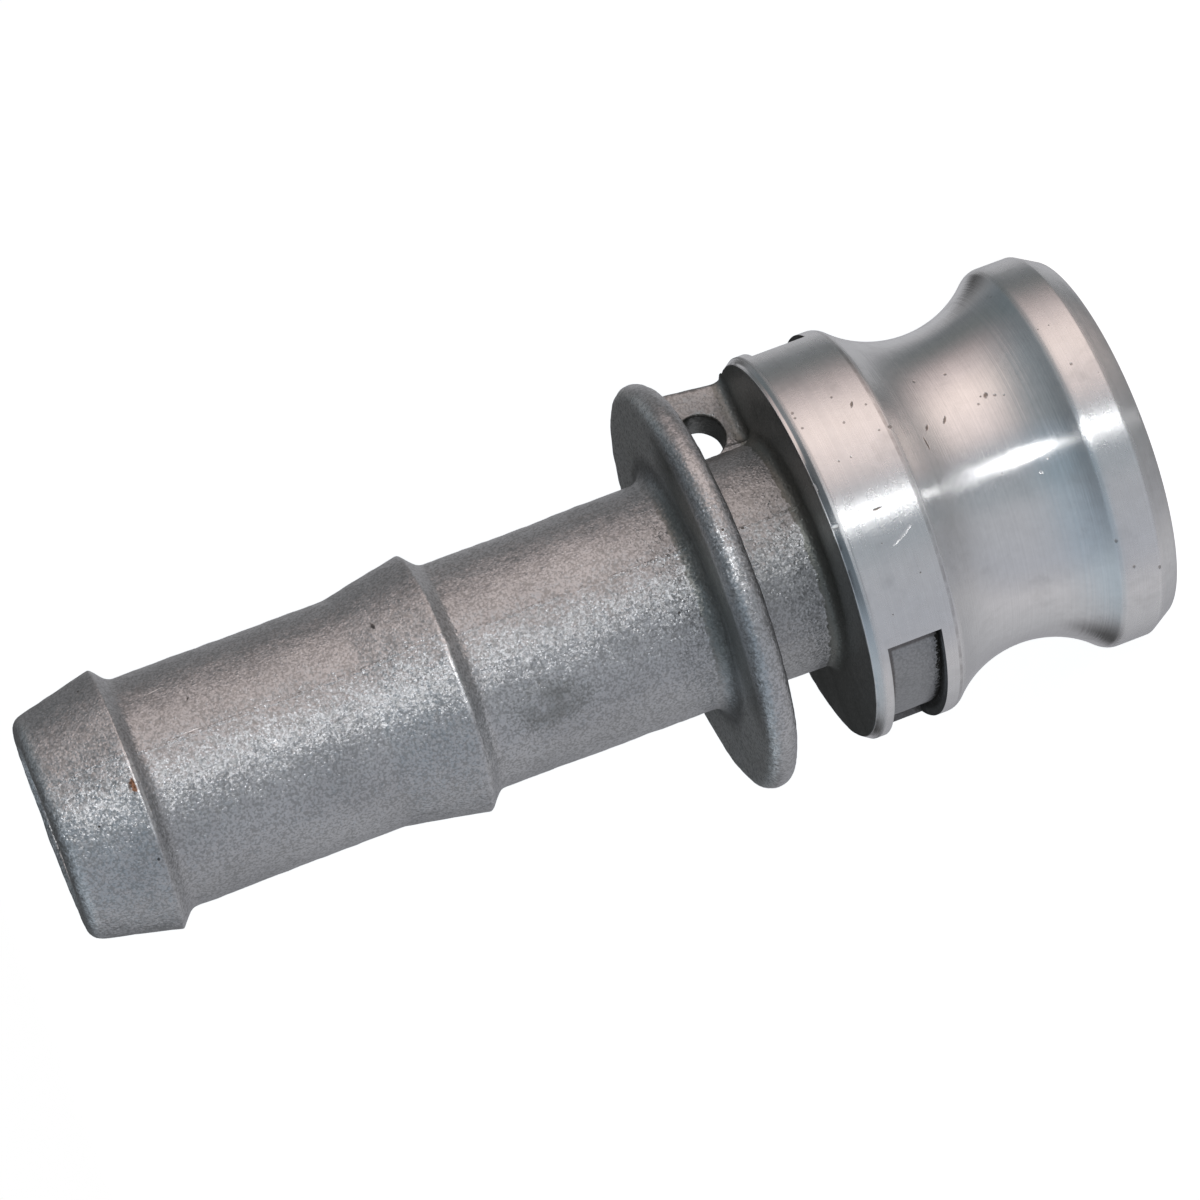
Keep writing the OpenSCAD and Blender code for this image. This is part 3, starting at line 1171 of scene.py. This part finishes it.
# %% Edges
RIM_START = HEAD_LEN - RIM_CHAMFER_LEN

groove_edge = near(height, 18.92, 0.18)
groove_edge = times(groove_edge, between(mottle, 0.2, 0.75))
# Painted dark reflection on the rim's chamfer, darkest on the front.
chamfer_painted_reflection = near(height, RIM_START + 0.33, 0.66)
front_painted_reflection = near(round_part, FRONT_AZIMUTH, 34.0)
chamfer_painted_reflection = times(chamfer_painted_reflection, maths("MULTIPLY_ADD", front_painted_reflection, 0.45, 0.12))
# Painted highlights along both edges of the chamfer.
low_rim_highlight = near(height, RIM_START - 0.02, 0.14)
high_rim_highlight = near(height, HEAD_LEN - 0.03, 0.1)
light = most(bright_marks_and_glint, low_rim_highlight, high_rim_highlight)
lip = between(height, HEAD_LEN - 0.3, HEAD_LEN + 0.02)
lip = times(lip, near(round_part, -60.0, 34.0))

# %% [markdown]
# ### Colour, reflection and relief of the turned head
# Clean aluminium is nearly white, and a little grey oxide in patches of three sizes
# keeps it from looking plated. The lands are rougher than the groove, because they rub
# in the bin. The Tangent node gives the direction round the axis, and the quarter turn
# stretches the highlight along it.

# %% Colour of the turned head
OXIDE = tone(0.5, 0.49, 0.48)

colour = blend(between(stain, 0.35, 0.7), tone(0.91), tone(0.85))
colour = painted(colour, [
    (between(dull, 0.52, 0.75), 0.2, OXIDE),
    (between(mottle, 0.3, 0.7, 1.0, 0.0), 0.12, OXIDE),
    (between(lines["Height"], 0.3, 0.7, 1.0, 0.0), 0.1, tone(0.4)),
    # Painted dark reflection on the chamfer.
    (chamfer_painted_reflection, 1.0, tone(0.1, 0.11, 0.12)),
    (groove_edge, 0.42, tone(0.14, 0.11, 0.1)),
    (speck, 0.85, tone(0.17, 0.14, 0.12)),
    # Bright marks, a painted glint and the painted highlights on the chamfer's edges.
    (light, 1.0, tone(0.97)),
])
feed(shader, {"Base Color": colour, "Metallic": 1.0})

# %% Reflection of the turned head
TURNED_ROUGHNESS = 0.1

rough = with_share(
    TURNED_ROUGHNESS, (on_land, 0.09), (lines["Bands"], 0.1),
    (between(dull, 0.45, 0.75), 0.06), (mottle, 0.06), (light, 0.3),
)
tangent = add(tree, "Tangent", direction_type="RADIAL", axis="Z").outputs[0]
feed(shader, {"Roughness": rough, "Tangent": tangent})
feed(shader, {"Anisotropic": 0.9, "Anisotropic Rotation": 0.25})

# %% Relief of the turned head
TURNED_BUMP = 0.000012

scuff_share = maths("MULTIPLY_ADD", on_land, 0.5, 0.3)
dents = with_share(
    lines["Height"], (most(speck, bright_marks_and_glint), -2.0), (scuffs, scuff_share),
    (lip, 18.0),
)
bump = add(tree, "Bump", {"Height": dents, "Distance": TURNED_BUMP, "Strength": 1.0})
feed(shader, {"Normal": bump.outputs[0]})
print("Turned skin:", len(tree.nodes), "nodes")

# %% [markdown]
# ## The floor
# The photograph's background is white, so the pale floor glows for the camera alone: its
# own light and the glow reach white together, and a shadow still takes its part away.
# The metal doesn't mirror it and it holds back no light, as if there were no ground.

# %% Floor
FLOOR_RADIUS = 6.0
FLOOR_DROP = 0.02
FLOOR_GLOW = 0.81

deselect_everything()
bpy.ops.mesh.primitive_circle_add(
    vertices=96, radius=FLOOR_RADIUS, fill_type="NGON", location=(0, 0, -FLOOR_DROP * MM)
)
floor = bpy.context.object
floor.name = "floor"
floor_paint = bpy.data.materials.new("pale_floor")
floor.data.materials.append(floor_paint)
tree, shader = new_material(floor_paint)
cloudy = between(noise(object_place(tree), 40.0, 2.0, 0.5), 0.2, 0.8)
feed(shader, {"Base Color": blend(cloudy, tone(0.86), tone(0.88)), "Roughness": 0.9})
seen = add(tree, "LightPath").outputs["Is Camera Ray"]
feed(shader, {"Emission Color": tone(1), "Emission Strength": times(seen, FLOOR_GLOW)})
floor.visible_glossy = False
floor.visible_shadow = False

# %% [markdown]
# ## The studio
# Bright metal shows what stands round it, so the walls matter more than the lamp. They
# could be modelled as cards, but the world can paint them by direction: a cool grey wall
# whose tone changes round the part, and a broad warm card that gives the head its sheen.

# %% Directions and tones of the walls
world = bpy.data.worlds.new("studio")
bpy.context.scene.world = world
world.use_nodes = True
tree = world.node_tree
tree.nodes.clear()
direction = add(tree, "TexCoord").outputs["Generated"]
x, y, z = xyz_of(direction)
around = maths("MULTIPLY_ADD", maths("ARCTAN2", y, x), 0.5 / math.pi, 0.5)
up = maths("MULTIPLY", maths("ARCSINE", z), 180 / math.pi)

# Each stop has its azimuth in degrees and its colour.
WALLS = [
    (-180, 0.44, 0.45, 0.49), (-138, 0.45, 0.46, 0.49), (-122, 0.36, 0.39, 0.42),
    (-96, 0.36, 0.37, 0.40), (-80, 0.32, 0.31, 0.31), (-30, 0.30, 0.29, 0.29),
    (-6, 0.22, 0.21, 0.21), (6, 0.17, 0.18, 0.18), (20, 0.17, 0.18, 0.19),
    (30, 0.38, 0.38, 0.39), (44, 0.50, 0.50, 0.52), (66, 0.42, 0.42, 0.44),
    (90, 0.34, 0.34, 0.36), (124, 0.48, 0.48, 0.50), (154, 0.56, 0.55, 0.57),
    (168, 0.46, 0.46, 0.49), (180, 0.44, 0.45, 0.49),
]
WARM_CARD = [
    (-180, 0, 0, 0), (-104, 0, 0, 0), (-94, 0.10, 0.11, 0.11), (-86, 0.27, 0.23, 0.23),
    (-78, 0.52, 0.43, 0.41), (-64, 0.70, 0.57, 0.53), (-51, 0.80, 0.65, 0.59),
    (-39, 0.70, 0.56, 0.51), (-27, 0.46, 0.36, 0.34), (-15, 0.24, 0.18, 0.17),
    (-5, 0.06, 0.05, 0.05), (4, 0, 0, 0), (180, 0, 0, 0),
]


def share_round(degrees):
    """An azimuth as a share of the way round, from 0 at -180 degrees to 1 at 180."""
    return (degrees + 180) / 360


def painted_round(around, tones):
    """A colour for each direction round the part, from a list of angles and tones."""
    ramp = add_after("ValToRGB", {0: around})
    stops = ramp.node.color_ramp.elements
    for degrees, *_ in tones[1:-1]:
        stops.new(share_round(degrees))
    for stop, (degrees, *colour) in zip(stops, tones):
        stop.position = share_round(degrees)
        stop.color = tone(*colour)
    return ramp


# %% [markdown]
# The walls fade into a paler floor and a dark ceiling, and the far side is dark, as in a
# room that is lit from the front. A narrow bright strip beside the camera gives the long
# highlight, and the glare of a table below it lights the middle of the groove.

# %% Walls, card, far side, strip and glare
FAR_AZIMUTH = 72
FAR_SIDE = tone(0.05)
BELOW = tone(0.24, 0.24, 0.245)
ABOVE = tone(0.075, 0.085, 0.095)
COOLER_UP = tone(0.8, 0.93, 1.0)
STRIP_AZIMUTH = -103
STRIP_FULL = 0.5
STRIP_GONE = 1.6
STRIP_LIGHT = tone(2.5)
GLARE_LIGHT = tone(6)

far_turn = math.radians(-180 - FAR_AZIMUTH)
far_side = maths("COSINE", maths("MULTIPLY_ADD", around, 2 * math.pi, far_turn))
far_side = times(between(far_side, 0.6, 0.92), between(up, -4, 6))
walls = painted_round(around, WALLS)
walls = blend(between(up, 5, 40), walls, COOLER_UP, "MULTIPLY")
below_or_above = blend(between(up, -20, 20), BELOW, ABOVE)
room = blend(near(up, 0, 84, 38), below_or_above, walls)
card_share = times(between(up, -72, -26), between(up, -6, 40, 1.0, 0.0))
card = blend(card_share, tone(0), painted_round(around, WARM_CARD))
room = blend(1.0, room, card, "ADD")
room = blend(far_side, room, FAR_SIDE)
strip = near(around, share_round(STRIP_AZIMUTH), STRIP_GONE / 360, STRIP_FULL / 360)
strip = times(strip, near(up, -5, 84, 60))
room = blend(strip, room, STRIP_LIGHT)
room = blend(times(strip, near(up, -20, 26, 8)), room, GLARE_LIGHT)

# %% [markdown]
# The camera itself sees plain white instead of the room.

# %% White backdrop
rays = add(tree, "LightPath").outputs
room_light = add(tree, "Background", {0: room, 1: 1.0}).outputs[0]
backdrop = add(tree, "Background", {0: tone(1), 1: 1.0}).outputs[0]
mix = add_after("MixShader", {0: rays["Is Camera Ray"], 1: room_light, 2: backdrop})
add(tree, "OutputWorld", {0: mix})
print("Studio:", len(tree.nodes), "nodes,", len(WALLS), "wall tones")

# %% [markdown]
# ## The lamp
# A small upright lamp stands beside the camera, on the strip's azimuth. It is what makes
# the cast grains sparkle.

# %% Lamp beside the camera
LAMP_DISTANCE = 0.36
LAMP_HEIGHT = 0.12
LAMP_WIDTH = 0.016
LAMP_LENGTH = 0.15
LAMP_POWER = 0.165
LAMP_AIM = Vector((0, 0, 0.03))

lamp_data = bpy.data.lights.new("highlight_lamp", "AREA")
lamp_data.shape = "RECTANGLE"
lamp_data.size = LAMP_WIDTH
lamp_data.size_y = LAMP_LENGTH
lamp_data.energy = LAMP_POWER
lamp = bpy.data.objects.new("highlight_lamp", lamp_data)
bpy.context.scene.collection.objects.link(lamp)
lamp_turn = math.radians(STRIP_AZIMUTH)
lamp_place = Vector((math.cos(lamp_turn), math.sin(lamp_turn), 0)) * LAMP_DISTANCE
lamp_place.z = LAMP_HEIGHT
lamp_aim = (LAMP_AIM - lamp_place).to_track_quat("-Z", "Y").to_matrix().to_4x4()
lamp.matrix_world = Matrix.Translation(lamp_place) @ lamp_aim
bpy.context.scene.view_settings.view_transform = "Standard"
print("Lamp at", [round(1000 * x) for x in lamp_place], "mm")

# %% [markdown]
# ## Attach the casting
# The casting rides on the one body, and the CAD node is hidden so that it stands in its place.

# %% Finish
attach(casting, "root")
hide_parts("hose_shank_adapter")
